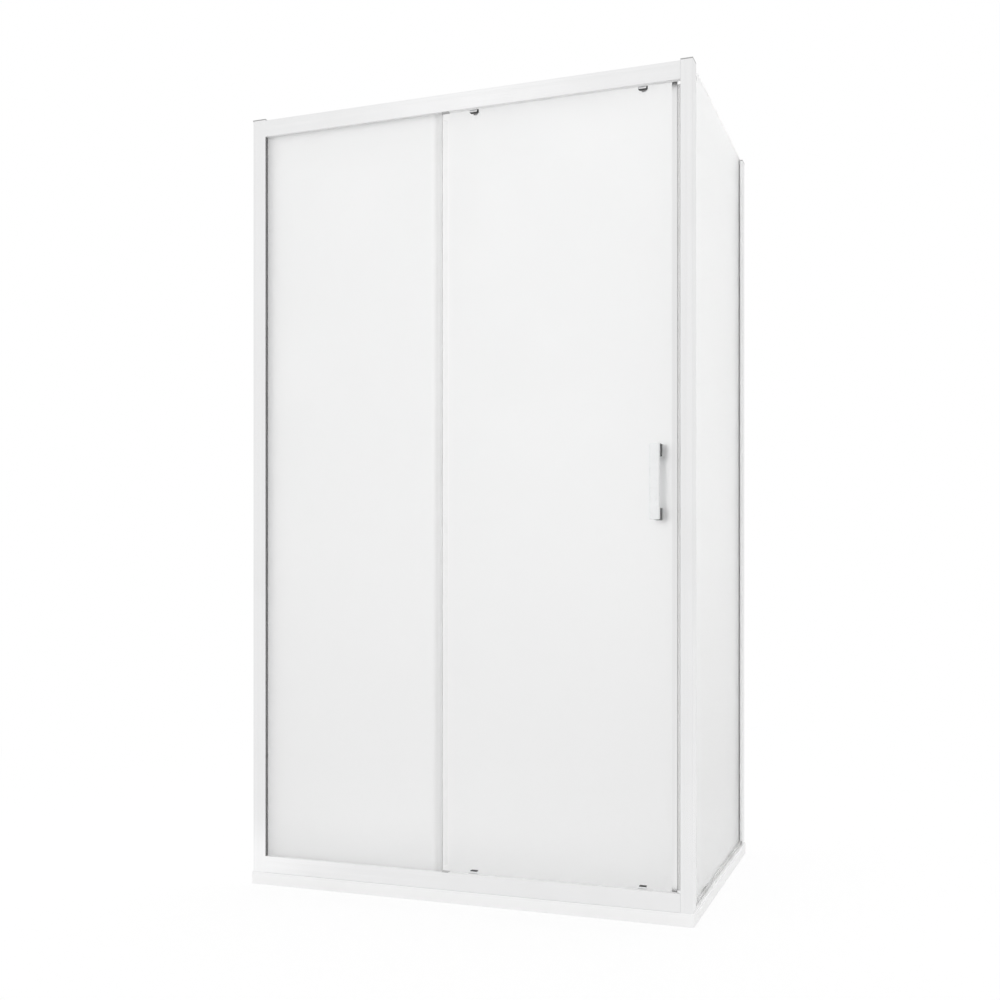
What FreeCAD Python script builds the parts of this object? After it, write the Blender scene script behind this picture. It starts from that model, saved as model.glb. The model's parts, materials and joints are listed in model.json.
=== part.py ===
"""Corner shower enclosure with a sliding front door, on a low tray. Millimetres, +Z up.

Origin: middle of the tray's underside. The door side looks towards -Y, the side pane is at +X,
and the two walls of the room are behind (+Y) and on the left (-X).
"""
import FreeCAD, Part
import math
import os

Vector = FreeCAD.Vector

# ------------------------------------------------ overall sizes
tray_width = 1200.0
tray_depth = 800.0
tray_height = 32.0
edge_setback = 3.0              # from the tray's edge in to the frame's outer faces
frame_height = 2023.0           # tray top to the top of the posts
post_rise = 4.0                 # posts stand this much above the header

# ------------------------------------------------ frame members
wall_profile_face = 38.0        # seen face of the member at each wall
post_face = 30.0                # seen face of the corner post
skin = 1.6                      # wall of the extrusions
edge_round = 0.8                # rounding of the seen long edges
end_cap_height = 3.0
telescoping_gap = 0.4           # frame profile over wall profile
wall_profile_show = 3.0         # strip of wall profile left uncovered at the wall
wall_profile_leg = 22.0
post_pocket_floor = 27.0        # front face in to the floor of the post's glazing pocket
plug_length = 12.0              # cap's plug inside the corner post
plug_gap = 0.5
weep_slot_length = 28.0         # slots that let water back out of the bottom rail
weep_slot_height = 4.0

# ------------------------------------------------ glass and seals
glass = 6.0
outer_glass_inset = 7.0         # from a member's outer face in to a fixed pane
arris = 0.5                     # ground edge of the panes
back_gasket = 2.0               # gasket behind a fixed pane
pocket_depth = 12.4             # glazing pocket in the upright members
pane_end_gap = 1.4              # pane edge to the bottom of its pocket
end_block_width = 18.0          # blocks that hold the fixed pane's free edge in header and rail
end_block_show = 1.6            # they stand this much out of the pocket
post_pane_gap = 2.0             # side pane's front edge to the bottom of its pocket
gasket_lip = 1.2                # gasket standing out of an upright pocket
gasket_bite = 7.0               # gasket depth in a pocket
soft_gap = 0.3                  # between a moving piece and a still one
fit_gap = 0.05                  # round pieces that are fitted in each other
fixed_pane_show = 511.0         # fixed pane seen between frame profile and free edge
side_pane_top_drop = 0.5        # side pane's top edge below the top of the posts
side_pane_lift = 6.0            # side pane's bottom edge above the tray
fixed_pane_in_rail = 31.0       # fixed pane's bottom edge below the rail's upper edge
fixed_pane_in_header = 28.0     # fixed pane's top edge above the header's lower edge

# ------------------------------------------------ running gear
door_overlap = 25.0             # door behind the fixed pane when shut
open_gap = 16.0                 # door's edge to the frame profile when it is fully open
running_space = 9.4             # depth that the wheels have, from web to roller plate
door_back_gap = 4.4             # door pane to the rear wall of header and rail
door_pane_in_header = 15.0      # door pane's top edge above the header's lower edge
door_pane_in_rail = 21.0        # door pane's bottom edge below the rail's upper edge
ledge_height = 9.0              # underside of the track ledge above the member's open edge
rib_height = 2.0
rib_width = 2.4
groove_radius = 9.0             # the wheel rolls on this radius
groove_depth = 1.5
wheel_width = 5.8
wheel_side_gap = 1.3            # wheel to the plate behind it
pressed_wheel_gap = 0.7         # released lower wheel to the screw port under it
rolling_gap = 0.2
axle_radius = 3.0
bearing_radius = 6.5
plate_thickness = 2.0
plate_gap = 0.5                 # ledge to roller plate
left_roller_in = 107.0          # roller centre from the door's left edge
right_roller_in = 80.5          # roller centre from the door's right edge
cover_width = 20.0              # roller covers and release housings
cover_behind_pane = 2.6         # their faces, from the back of the fixed pane
cover_height = 11.4
cover_drop = 4.0                # lower end of an upper cover below the header's edge
release_stroke = 3.0
release_rise = 6.5              # release button's top above the rail's upper edge
button_show = 1.7               # button standing out of its housing
button_height = 5.7
bolt_radius = 2.5
bolt_head_radius = 4.2
pin_radius = 2.2                # stud of a release housing
sleeve_radius = 6.0
nut_radius = 8.0
nut_height = 4.0
shell_wall = 1.2

# ------------------------------------------------ closing edge and handle
closing_profile_face = 12.5
closing_profile_wall = 1.8
magnet_seal_face = 6.0
strike_reach = 6.5              # strike seal standing out of the corner post
pane_in_closing_profile = 10.0
handle_width = 24.2
handle_height = 182.2
handle_thickness = 9.0
handle_low = 963.8              # lower end of the handle above the floor
handle_in = 46.4                # handle's left edge to the closing profile
handle_stand_off = 43.0         # outer face of the bar from the pane
spacer_width = 18.4
spacer_height = 28.5
spacer_length = 26.0
collar_grow = 2.0
washer_thickness = 1.6

# ------------------------------------------------ tray
tray_corner_radius = 3.0
tray_edge_round = 2.5
front_rim = 60.0
side_rim = 55.0
back_rim = 32.0
basin_corner_radius = 45.0
basin_wall_depth = 8.0
basin_wall_slope = 9.0
basin_foot_round = 10.0         # rounding between the basin's wall and its floor
basin_rim_round = 2.0
basin_fall = 7.0                # from the basin's edge to the waste
waste_radius = 45.0
waste_from_back = 165.0
cover_radius = 57.5
cover_seat_depth = 4.0
cover_gap = 1.5
cover_thickness = 4.2

# ------------------------------------------------ screws
port_hole_radius = 1.95         # screw ports of header and bottom rail
port_square = 6.4
frame_screw_radius = 1.9
frame_screw_length = 14.0       # thread inside the port
screw_head_radius = 3.3
screw_head_height = 2.4
wall_hole_radius = 2.75         # holes for the wall screws
wall_hole_count = 4
wall_hole_first = 100.0         # first hole above the tray
wall_hole_last = 90.0           # last hole below the profile's upper end
lock_screw_first = 135.0        # lowest lock screw above the tray
lock_screw_last = 230.0         # highest lock screw below the profile's upper end

# ------------------------------------------------ depths, from the front face in
pocket_back = outer_glass_inset + glass + back_gasket
running_back = pocket_back + skin
plate_front_inset = running_back + running_space
door_glass_inset = plate_front_inset + plate_thickness
door_glass_back = door_glass_inset + glass
member_depth = door_glass_back + door_back_gap + skin
ledge_reach = plate_front_inset - plate_gap
wheel_inset = plate_front_inset - wheel_side_gap - wheel_width / 2
cover_front_inset = outer_glass_inset + glass + cover_behind_pane
magnet_groove_front = door_glass_inset - 3.0
port_outer_inset = outer_glass_inset + 0.8
port_inner_inset = magnet_groove_front - screw_head_radius - 0.2

# ------------------------------------------------ heights in header and rail, from their open edge
wheel_radius = groove_radius + groove_depth
axle_height = ledge_height + skin + rib_height + rolling_gap + groove_radius
port_low = axle_height + wheel_radius + release_stroke + pressed_wheel_gap
port_height = port_low + port_square / 2
rail_height = port_low + port_square + skin

# ------------------------------------------------ places
left = -tray_width / 2 + edge_setback
right = tray_width / 2 - edge_setback
front = -tray_depth / 2 + edge_setback
rear = tray_depth / 2 - edge_setback
base = tray_height
top = base + frame_height
post_top = top - end_cap_height
header_top = top - post_rise
header_low = header_top - rail_height
rail_high = base + rail_height
opening_left = left + wall_profile_face
opening_right = right - post_face
upright_pocket_floor = wall_profile_face - pocket_depth

fixed_pane_edge = opening_left + fixed_pane_show
door_left = fixed_pane_edge - door_overlap
door_travel = door_left - opening_left - open_gap
closing_right = opening_right - magnet_seal_face - soft_gap - strike_reach
closing_left = closing_right - closing_profile_face
door_right = closing_left + pane_in_closing_profile
door_low = rail_high - door_pane_in_rail
door_high = header_low + door_pane_in_header
rollers = (door_left + left_roller_in, door_right - right_roller_in)
top_axle_z = header_low + axle_height
bottom_axle_z = rail_high - axle_height
cover_low = header_low - cover_drop
top_bolt_z = cover_low + cover_height / 2
button_top = rail_high + release_rise
button_low = button_top - button_height
housing_top = button_top - button_show
housing_low = rail_high - ledge_height + 0.8
stud_z = housing_low + shell_wall + pin_radius + 0.1
handle_left = closing_left - handle_in

fixed_pane_left = left + upright_pocket_floor + skin + pane_end_gap
fixed_pane_low = rail_high - fixed_pane_in_rail
fixed_pane_high = header_low + fixed_pane_in_header
side_pane_top = top - side_pane_top_drop
side_pane_front = front + post_pocket_floor + skin + post_pane_gap
side_pane_rear = rear - upright_pocket_floor - skin - pane_end_gap

profile_length = post_top - base
lock_screw_top = profile_length - lock_screw_last
lock_screw_heights = (lock_screw_first, (lock_screw_first + lock_screw_top) / 2, lock_screw_top)
wall_hole_pitch = (profile_length - wall_hole_last - wall_hole_first) / (wall_hole_count - 1)


# ------------------------------------------------ helpers
def box(x0, y0, z0, x1, y1, z1):
    """Solid block between two corners."""
    return Part.makeBox(x1 - x0, y1 - y0, z1 - z0, Vector(x0, y0, z0))


def rod(radius, start, end):
    """Round rod from one point to another."""
    run = Vector(*end) - Vector(*start)
    return Part.makeCylinder(radius, run.Length, Vector(*start), run)


def rod_y(radius, x, z, inset_from, inset_to):
    """Round rod square to the front, between two insets from the front face."""
    return rod(radius, (x, front + inset_from, z), (x, front + inset_to, z))


def joined(shapes):
    """One clean solid from touching or crossing shapes."""
    return shapes[0].multiFuse(shapes[1:]).removeSplitter()


def section(strips, holes=()):
    """Flat profile in the XY plane: walls given as rectangles, less round holes (x, y, radius)."""
    walls = [Part.makePlane(x1 - x0, y1 - y0, Vector(x0, y0, 0)) for x0, y0, x1, y1 in strips]
    face = joined(walls)
    for x, y, radius in holes:
        circle = Part.Wire(Part.makeCircle(radius, Vector(x, y, 0)))
        face = face.cut(Part.Face(circle))
    if len(face.Faces) != 1:
        raise ValueError("a profile's walls don't meet")
    return face.Faces[0]


def rounded_long_edges(shape, corners, radius):
    """Round the edges that run along Z through the given (x, y) corners."""
    edges = []
    for edge in shape.Edges:
        a = edge.Vertexes[0].Point
        b = edge.Vertexes[-1].Point
        if abs(a.z - b.z) < radius:
            continue
        for x, y in corners:
            if math.hypot(a.x - x, a.y - y) < 0.01 and math.hypot(b.x - x, b.y - y) < 0.01:
                edges.append(edge)
    return shape.makeFillet(radius, edges)


def shifted(shape, x, y, z):
    """Copy of a shape, moved without turning it."""
    copy = shape.copy()
    copy.translate(Vector(x, y, z))
    return copy


def across(shape, x, upside_down=False):
    """Lay a (depth, height) extrusion along +X, open edge at the opening of header or rail."""
    laid = shape.copy()
    laid.rotate(Vector(0, 0, 0), Vector(1, 1, 1), 120)      # X to Y, Y to Z, Z to X
    if upside_down:
        return shifted(laid.mirror(Vector(0, 0, 0), Vector(0, 0, 1)), x, front, rail_high)
    return shifted(laid, x, front, header_low)


def at_left_wall(shape, z):
    """Stand a (face, depth) extrusion at the left wall, face along +X, depth along +Y."""
    return shifted(shape, left, front, z)


def at_rear_wall(shape, z):
    """The same extrusion at the rear wall: face along -Y, depth along -X."""
    return shifted(shape.mirror(Vector(0, 0, 0), Vector(1, 1, 0)), right, rear, z)


def at_corner(shape, z):
    """Stand the corner post's (face, depth) extrusion: face along -X, depth along +Y."""
    return shifted(shape.mirror(Vector(0, 0, 0), Vector(1, 0, 0)), right, front, z)


def extruded(face, length):
    return face.extrude(Vector(0, 0, length))


def save(name, *solids):
    """Write one sub-part. Several solids in it stay separate."""
    shape = solids[0] if len(solids) == 1 else Part.makeCompound(solids)
    if not shape.isValid():
        raise ValueError(name + " is not a valid shape")
    shape.exportStep("parts/" + name + ".step")


# ------------------------------------------------ tray and waste cover
def rounded_rectangle(x0, y0, x1, y1, radius, z):
    """Closed outline of four lines and four arcs."""
    corners = ((x1 - radius, y0 + radius, -90), (x1 - radius, y1 - radius, 0),
               (x0 + radius, y1 - radius, 90), (x0 + radius, y0 + radius, 180))
    edges = []
    last = None
    first = None
    for cx, cy, start in corners:
        points = []
        for angle in (start, start + 45, start + 90):
            turn = math.radians(angle)
            points.append(Vector(cx + radius * math.cos(turn), cy + radius * math.sin(turn), z))
        if last is not None:
            edges.append(Part.makeLine(last, points[0]))
        edges.append(Part.Arc(*points).toShape())
        first = first or points[0]
        last = points[2]
    edges.append(Part.makeLine(last, first))
    return Part.Wire(edges)


def make_tray():
    half_width = tray_width / 2
    half_depth = tray_depth / 2
    slab = Part.Face(rounded_rectangle(-half_width, -half_depth, half_width, half_depth,
                                       tray_corner_radius, 0)).extrude(Vector(0, 0, tray_height))
    top_edges = [edge for edge in slab.Edges if edge.BoundBox.ZMin > tray_height - 0.01]
    slab = slab.makeFillet(tray_edge_round, top_edges)

    x0, x1 = -half_width + side_rim, half_width - side_rim
    y0, y1 = -half_depth + front_rim, half_depth - back_rim
    floor_z = tray_height - basin_wall_depth
    low_z = floor_z - basin_fall
    waste_y = half_depth - waste_from_back
    slope = basin_wall_slope
    rim_line = rounded_rectangle(x0, y0, x1, y1, basin_corner_radius, tray_height)
    foot_line = rounded_rectangle(x0 + slope, y0 + slope, x1 - slope, y1 - slope,
                                  basin_corner_radius - slope, floor_z)
    basin = Part.makeLoft([rim_line, foot_line], True, True)
    foot_edges = [edge for edge in basin.Edges if edge.BoundBox.ZMax < floor_z + 0.01]
    basin = basin.makeFillet(basin_foot_round, foot_edges)
    flat = slope + basin_foot_round / 2
    floor_line = rounded_rectangle(x0 + flat, y0 + flat, x1 - flat, y1 - flat,
                                   basin_corner_radius - flat, floor_z)
    well = cover_radius + cover_gap + 2
    waste_line = rounded_rectangle(-well, waste_y - well, well, waste_y + well, well * 0.6, low_z)
    falls = Part.makeLoft([floor_line, waste_line], True, True)
    seat_z = low_z - cover_seat_depth
    seat = rod(cover_radius + cover_gap, (0, waste_y, seat_z), (0, waste_y, low_z + 1))
    hole = rod(waste_radius, (0, waste_y, -1), (0, waste_y, seat_z + 1))
    tray = slab.cut(basin)
    rim_edges = [edge for edge in tray.Edges
                 if edge.BoundBox.ZMin > tray_height - 0.01 and edge.BoundBox.XMax < x1 + 0.01
                 and edge.BoundBox.XMin > x0 - 0.01 and edge.BoundBox.YMin > y0 - 0.01]
    tray = tray.makeFillet(basin_rim_round, rim_edges)
    tray = tray.cut(falls).cut(seat).cut(hole).removeSplitter()
    save("shower_tray", tray)

    plate = rod(cover_radius, (0, waste_y, seat_z), (0, waste_y, seat_z + cover_thickness))
    rim = [edge for edge in plate.Edges if edge.BoundBox.ZMin > seat_z + cover_thickness - 0.01]
    plate = plate.makeChamfer(1.2, rim)
    slot_count = 18
    slot = joined([box(30, -1.6, 0, 42, 1.6, 9), rod(1.6, (30, 0, 0), (30, 0, 9)),
                   rod(1.6, (42, 0, 0), (42, 0, 9))])
    slots = []
    for number in range(slot_count):
        turned = slot.copy()
        turned.rotate(Vector(0, 0, 0), Vector(0, 0, 1), number * 360 / slot_count)
        turned.translate(Vector(0, waste_y, seat_z - 2))
        slots.append(turned)
    save("waste_cover", plate.cut(slots))


# ------------------------------------------------ header and bottom rail
def track_section():
    """(depth, height) profile shared by header and rail, height counted from the open edge."""
    high = rail_height
    roof = high - skin
    half_port = port_square / 2
    rib_low = ledge_height + skin
    strips = [
        (0, 0, skin, high),                                                   # front wall
        (0, roof, member_depth, high),                                        # roof
        (member_depth - skin, 12, member_depth, high),                        # rear wall
        (pocket_back, ledge_height, running_back, high),                      # web
        (pocket_back, ledge_height, ledge_reach, rib_low),                    # track ledge
        (wheel_inset - rib_width / 2, ledge_height, wheel_inset + rib_width / 2,
         rib_low + rib_height),                                               # track rib
        (0, gasket_bite, skin + 1.0, gasket_bite + 1.0),                      # gasket bead
        (port_outer_inset - half_port, port_low, port_outer_inset + half_port, high),   # outer screw port
        (port_inner_inset - half_port, port_low, port_inner_inset + half_port, high)]   # inner screw port
    holes = [(port_outer_inset, port_height, port_hole_radius),
             (port_inner_inset, port_height, port_hole_radius)]
    return section(strips, holes)


def infill_section():
    """Clip-in channel that closes the glazing pocket where no pane stands in it."""
    deep = pocket_back - 1.4
    leg = 5.6
    wall = 1.4
    return section([(skin, 0, deep, wall), (skin, 0, skin + wall, leg), (deep - wall, 0, deep, leg)])


def make_header_and_rail():
    length = opening_right - opening_left
    member = extruded(track_section(), length)
    member = rounded_long_edges(member, [(0, 0), (0, rail_height)], edge_round)
    save("header_rail", across(member, opening_left))
    weeps = []
    for share in (0.12, 0.5, 0.88):
        middle = share * length
        low = rail_height - skin - 1.0 - weep_slot_height
        weeps.append(box(member_depth - skin - 1, low, middle - weep_slot_length / 2,
                         member_depth + 1, low + weep_slot_height, middle + weep_slot_length / 2))
    save("bottom_rail", across(member.cut(weeps), opening_left, upside_down=True))

    block_left = fixed_pane_edge + 1.4
    infill_left = block_left + end_block_width
    block = section([(skin, -end_block_show, pocket_back - 1.4, gasket_bite - 0.4)])
    block = extruded(block, end_block_width)
    save("pane_end_blocks", across(block, block_left), across(block, block_left, upside_down=True))
    infill = extruded(infill_section(), opening_right - infill_left)
    save("header_infill", across(infill, infill_left))
    save("rail_infill", across(infill, infill_left, upside_down=True))

    front_strip = section([(skin, 0, outer_glass_inset, gasket_bite - 0.4)])
    back_strip = section([(pocket_back - back_gasket, ledge_height + 1, pocket_back, ledge_height + 6)])
    gasket_length = fixed_pane_edge - opening_left
    strips = [extruded(front_strip, gasket_length), extruded(back_strip, gasket_length)]
    save("glazing_gasket_top", *[across(strip, opening_left) for strip in strips])
    save("glazing_gasket_bottom", *[across(strip, opening_left, upside_down=True) for strip in strips])


# ------------------------------------------------ members at the walls
def frame_profile_section():
    """(face, depth) profile with a glazing pocket; it slides over the wall profile."""
    face = wall_profile_face
    floor = upright_pocket_floor
    return section([
        (wall_profile_show, 0, face, skin),
        (wall_profile_show, member_depth - skin, face, member_depth),
        (face - skin, pocket_back, face, member_depth),
        (floor, pocket_back, face, running_back),
        (floor, 0, floor + skin, running_back)])


def wall_profile_section():
    inner = skin + telescoping_gap
    return section([
        (0, inner, skin, member_depth - inner),
        (0, inner, wall_profile_leg, inner + skin),
        (0, member_depth - inner - skin, wall_profile_leg, member_depth - inner)])


def upright_gasket_section(face, pocket_floor):
    """Both gasket strips of an upright glazing pocket, as (face, depth) rectangles."""
    start = pocket_floor + skin + pane_end_gap + 2
    outer = section([(start, skin, face + gasket_lip, outer_glass_inset)])
    inner = section([(start, outer_glass_inset + glass, face, pocket_back)])
    return outer, inner


def wall_holes(along_face):
    """Rods that cut the wall-screw holes through a wall profile's web."""
    middle = member_depth / 2
    cuts = []
    for number in range(wall_hole_count):
        z = wall_hole_first + number * wall_hole_pitch
        cuts.append(rod(wall_hole_radius, (-5, middle, z), (along_face, middle, z)))
    return cuts


def lock_screw(z):
    """Screw through frame profile and wall profile from inside the cabin, in (face, depth)."""
    reach = wall_profile_leg * 0.6
    shaft = rod(frame_screw_radius, (reach, member_depth - 6, z), (reach, member_depth, z))
    head = rod(screw_head_radius, (reach, member_depth, z), (reach, member_depth + screw_head_height, z))
    return joined([shaft, head])


def lock_holes():
    reach = wall_profile_leg * 0.6
    return [rod(frame_screw_radius + fit_gap, (reach, member_depth - 8, z), (reach, member_depth + 1, z))
            for z in lock_screw_heights]


def frame_screw_places():
    """(depth, height above the tray) of the four screw ports seen at each end of the opening."""
    places = []
    for inset in (port_outer_inset, port_inner_inset):
        places.append((inset, header_low + port_height - base))
        places.append((inset, rail_high - port_height - base))
    return places


def make_wall_members():
    profile = extruded(frame_profile_section(), profile_length)
    profile = rounded_long_edges(profile, [(wall_profile_face, 0)], edge_round)
    profile = profile.cut(lock_holes())
    wall_part = extruded(wall_profile_section(), profile_length).cut(wall_holes(wall_profile_leg))
    wall_part = wall_part.cut(lock_holes())
    cap = box(0, 0, 0, wall_profile_face, member_depth, end_cap_height)
    cap = rounded_long_edges(cap, [(wall_profile_face, 0)], edge_round)
    screws = [lock_screw(z) for z in lock_screw_heights]

    screw_holes = []
    for depth, z in frame_screw_places():
        start = upright_pocket_floor - 1 if depth < pocket_back else wall_profile_face - skin - 1
        screw_holes.append(rod(frame_screw_radius + fit_gap, (start, depth, z),
                               (wall_profile_face + 1, depth, z)))
    save("frame_profile_left", at_left_wall(profile.cut(screw_holes), base))
    save("wall_profile_left", at_left_wall(wall_part, base))
    save("profile_cap_left", at_left_wall(cap, post_top))
    save("side_frame_profile", at_rear_wall(profile, base))
    save("side_wall_profile", at_rear_wall(wall_part, base))
    pane_slot = box(upright_pocket_floor + 2, outer_glass_inset - soft_gap, -1, wall_profile_face + 1,
                    outer_glass_inset + glass + soft_gap, end_cap_height + 1)
    save("side_profile_cap", at_rear_wall(cap.cut(pane_slot), post_top))
    save("profile_screws", *([at_left_wall(screw, base) for screw in screws]
                             + [at_rear_wall(screw, base) for screw in screws]))

    strips = upright_gasket_section(wall_profile_face, upright_pocket_floor)
    left_strips = [at_left_wall(extruded(strip, header_low - rail_high), rail_high) for strip in strips]
    save("glazing_gasket_left", *left_strips)
    low = base + side_pane_lift + 6
    side_strips = [at_rear_wall(extruded(strip, post_top - low), low) for strip in strips]
    save("side_gasket_wall", *side_strips)


# ------------------------------------------------ corner post
def post_section():
    """(face, depth) profile: side glazing pocket at the back, magnet groove on the opening side."""
    face = post_face
    deep = member_depth
    pocket_floor = post_pocket_floor
    groove_front = magnet_groove_front
    groove_floor = face - 10
    lip = 1.6
    return section([
        (0, 0, skin, deep),                                        # outer side wall
        (0, 0, face, skin),                                        # front wall
        (face - skin, 0, face, groove_front + skin),               # wall of the opening
        (pocket_back, pocket_floor, running_back, deep),           # inner wall of the glazing pocket
        (0, pocket_floor, running_back, pocket_floor + skin),      # floor of the glazing pocket
        (groove_floor, groove_front, face, groove_front + skin),   # front wall of the magnet groove
        (groove_floor, groove_front, groove_floor + skin, deep),   # floor of the magnet groove
        (pocket_back, deep - skin, face, deep),                    # rear wall
        (face - skin, groove_front, face, groove_front + skin + lip),
        (face - skin, deep - skin - lip, face, deep)])


def make_corner_post():
    post = extruded(post_section(), profile_length)
    post = rounded_long_edges(post, [(0, 0), (post_face, 0)], edge_round)
    holes = [rod(frame_screw_radius + fit_gap, (post_face - skin - 1, depth, z), (post_face + 1, depth, z))
             for depth, z in frame_screw_places()]
    save("corner_post", at_corner(post.cut(holes), base))
    cap = box(0, 0, 0, post_face, member_depth, end_cap_height)
    cap = rounded_long_edges(cap, [(0, 0), (post_face, 0)], edge_round)
    pane_slot = box(outer_glass_inset - soft_gap, post_pocket_floor + skin, -1,
                    outer_glass_inset + glass + soft_gap, member_depth + 1, end_cap_height + 1)
    inside = skin + plug_gap
    plug_side = post_face - skin - screw_head_height - plug_gap
    plug_back = magnet_groove_front - plug_gap
    plug = box(inside, inside, -plug_length, plug_side, plug_back, 0.5)
    hollow = box(inside + skin, inside + skin, -plug_length - 1, plug_side - skin, plug_back - skin, 0)
    cap = joined([cap.cut(pane_slot), plug.cut(hollow)])
    save("corner_post_cap", at_corner(cap, post_top))

    near = door_glass_inset
    far = door_glass_back
    strike = section([(post_face - 7.8, near - 0.6, post_face - 2, far + 3.8),
                      (post_face - 3, near + 0.8, post_face, far + 2.2),
                      (post_face, near, post_face + strike_reach, far + 2.0)])
    save("strike_magnet_seal", at_corner(extruded(strike, header_low - rail_high), rail_high))

    start = post_pocket_floor + skin + post_pane_gap + 2.4
    outer = section([(skin, start, outer_glass_inset, member_depth + gasket_lip)])
    inner = section([(outer_glass_inset + glass, start, pocket_back, member_depth)])
    low = base + side_pane_lift + 6
    strips = [at_corner(extruded(strip, post_top - low), low) for strip in (outer, inner)]
    save("side_gasket_post", *strips)


def make_frame_screws():
    """Screws from the hollow uprights into the screw ports of header and rail."""
    screws = []
    for depth, height in frame_screw_places():
        y = front + depth
        z = base + height
        seat_x = left + upright_pocket_floor if depth < pocket_back else opening_left - skin
        seats = ((seat_x, opening_left + frame_screw_length, -1),
                 (opening_right + skin, opening_right - frame_screw_length, 1))
        for seat, tip, way in seats:
            shaft = rod(frame_screw_radius, (seat, y, z), (tip, y, z))
            head = rod(screw_head_radius, (seat, y, z), (seat + way * screw_head_height, y, z))
            screws.append(joined([shaft, head]))
    save("frame_screws", *screws)


# ------------------------------------------------ fixed panes
def ground_pane(x0, y0, z0, x1, y1, z1):
    """Sheet of glass with all its edges ground."""
    pane = box(x0, y0, z0, x1, y1, z1)
    return pane.makeChamfer(arris, pane.Edges)


def make_fixed_panes():
    y = front + outer_glass_inset
    pane = ground_pane(fixed_pane_left, y, fixed_pane_low, fixed_pane_edge, y + glass, fixed_pane_high)
    save("fixed_glass", pane)

    side_x = right - outer_glass_inset
    side_low = base + side_pane_lift
    pane = ground_pane(side_x - glass, side_pane_front, side_low, side_x, side_pane_rear, side_pane_top)
    save("side_glass", pane)

    block = 50.0
    port_top = rail_high - port_low
    blocks = []
    for share in (0.25, 0.75):
        x = opening_left + share * (fixed_pane_edge - opening_left)
        blocks.append(box(x - block / 2, front + outer_glass_inset - 2, port_top,
                          x + block / 2, front + pocket_back, fixed_pane_low))
        middle = side_pane_front + share * (side_pane_rear - side_pane_front)
        blocks.append(box(side_x - glass, middle - block / 2, base + shell_wall,
                          side_x, middle + block / 2, side_low))
    save("setting_blocks", *blocks)

    sill_wall = shell_wall
    outside = side_x + soft_gap + sill_wall
    inside = side_x - glass - soft_gap - sill_wall
    sill_front = front + member_depth + soft_gap
    sill_rear = rear - wall_profile_face - soft_gap
    sill = box(inside, sill_front, base, outside, sill_rear, side_low + 5)
    channel = box(inside + sill_wall, sill_front - 1, base + sill_wall, outside - sill_wall,
                  sill_rear + 1, side_low + 6)
    save("side_sill_seal", sill.cut(channel))


def make_overlap_seals():
    """Seal on the fixed pane's free edge, and the fin on the door that stands behind the pane."""
    wall = 1.0
    lap = 6.0
    trim = 14.0
    gap = outer_glass_inset
    edge = fixed_pane_edge
    clip = section([(edge - lap, gap - wall, edge + wall, gap),
                    (edge - lap, gap + glass, edge + wall, gap + glass + wall),
                    (edge, gap - wall, edge + wall, gap + glass + wall)])
    clip = extruded(clip, header_low - rail_high - 2 * soft_gap)
    clip.translate(Vector(0, front, rail_high + soft_gap))
    root_y = front + gap + glass + wall
    tip_y = front + door_glass_inset - 0.6
    fin_low = rail_high + trim
    outline = ((edge - 0.2, root_y - 0.2), (edge + wall, root_y - 0.2),
               (edge + 7.4, tip_y), (edge + 6.2, tip_y))
    corners = [Vector(x, y, fin_low) for x, y in outline]
    fin = Part.Face(Part.makePolygon(corners + [corners[0]]))
    fin = fin.extrude(Vector(0, 0, header_low - trim - fin_low))
    save("fixed_glass_overlap_seal", joined([clip, fin]))

    grip = 1.2
    end = door_left - grip
    back = door_glass_back
    holder = section([(end, door_glass_inset - grip, door_left + 11, door_glass_inset),
                      (end, back, door_left + 11, back + grip),
                      (end, door_glass_inset - grip, door_left, back + grip)])
    holder = extruded(holder, header_low - rail_high + 14)
    holder.translate(Vector(0, front, rail_high - 7))
    fin_front = outer_glass_inset + glass + wall + soft_gap
    blade = box(end, front + fin_front, rail_high + 2, end + wall,
                front + door_glass_inset - grip, header_low - 2)
    save("door_trailing_seal", joined([holder, blade]))


# ------------------------------------------------ door pane and its edges
def handle_post_heights():
    low = handle_low + spacer_height / 2
    high = handle_low + handle_height - spacer_height / 2
    return low, high


def handle_post_x():
    return handle_left + handle_width - spacer_width / 2 - 0.6


def make_door_pane():
    y = front + door_glass_inset
    pane = ground_pane(door_left, y, door_low, door_right, y + glass, door_high)
    holes = []
    for x in rollers:
        for z in (top_bolt_z, stud_z):
            holes.append(rod_y(sleeve_radius + fit_gap, x, z, door_glass_inset - 1, door_glass_back + 1))
    for z in handle_post_heights():
        holes.append(rod_y(bolt_radius + 1, handle_post_x(), z, door_glass_inset - 1, door_glass_back + 1))
    save("door_glass", pane.cut(holes))

    wall = closing_profile_wall
    near = door_glass_inset - wall
    far = door_glass_back + wall
    low = rail_high - 10
    length = header_low - rail_high + 20
    channel = section([(closing_left, near, closing_right, door_glass_inset),
                       (closing_left, door_glass_back, closing_right, far),
                       (door_right, near, closing_right, far)])
    channel = extruded(channel, length)
    channel.translate(Vector(0, front, low))
    save("door_closing_profile", channel)
    magnet = section([(closing_right, near + 1.6, closing_right + magnet_seal_face, far - 0.6)])
    magnet = extruded(magnet, header_low - rail_high - 2)
    magnet = rounded_long_edges(magnet, [(closing_right + magnet_seal_face, near + 1.6),
                                         (closing_right + magnet_seal_face, far - 0.6)], 1.0)
    magnet.translate(Vector(0, front, rail_high + 1))
    save("door_magnet_seal", magnet)


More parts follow.
